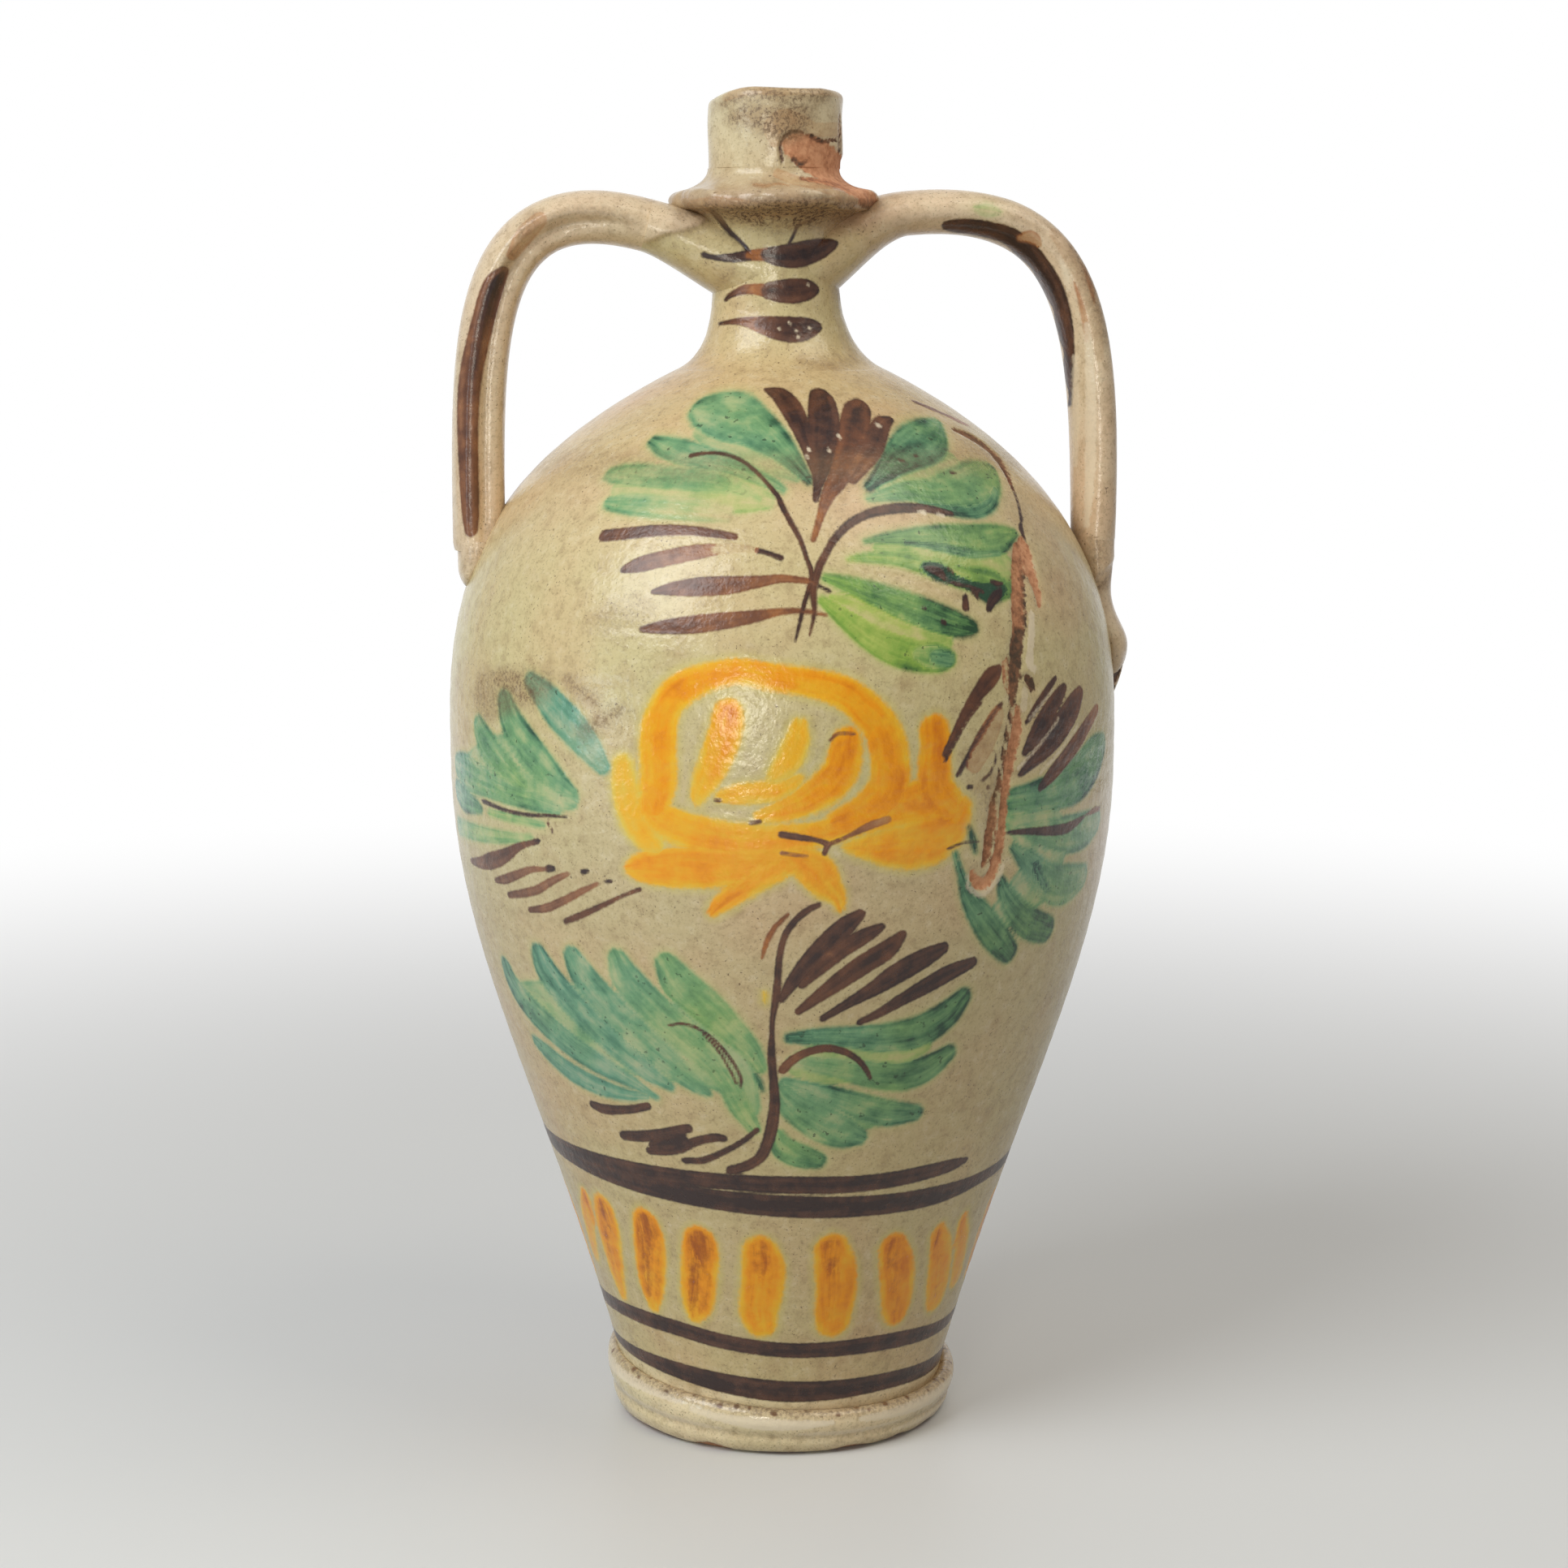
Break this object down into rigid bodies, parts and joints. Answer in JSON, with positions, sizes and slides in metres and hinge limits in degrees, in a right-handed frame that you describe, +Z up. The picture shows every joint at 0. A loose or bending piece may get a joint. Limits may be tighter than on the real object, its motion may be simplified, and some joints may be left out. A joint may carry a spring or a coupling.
{
  "type": "two-handled jug",
  "caption": "Tall earthenware jug with strap handles, a round-shouldered body on a turned foot, a narrow neck, a flanged collar and a short mouth, for carrying and pouring water.",
  "frame": {"origin": "on the table, at the middle of the foot ring's sole", "axes": "+Z up along the jug's axis, +X towards the right handle, -Y towards the painted front"},
  "size_m": [0.2028, 0.1994, 0.4],
  "materials": {
    "body_glaze": "glossy beige tin glaze over terracotta, with painted flowers and bands",
    "neck_glaze": "greenish beige tin glaze, chipped to bare terracotta at the mouth",
    "handle_glaze": "glossy beige tin glaze with a brown stripe",
    "foot_glaze": "yellowish tin glaze, worn at the sole"
  },
  "bodies": {
    "root": {"foot_ring": "foot_glaze", "lower_body": "body_glaze", "upper_body": "body_glaze", "neck": "neck_glaze", "collar": "neck_glaze", "mouth": "neck_glaze", "left_upper_root": "neck_glaze", "right_upper_root": "neck_glaze", "left_handle": "handle_glaze", "right_handle": "handle_glaze", "left_lower_root": "handle_glaze", "right_lower_root": "handle_glaze"}
  },
  "joints": []
}
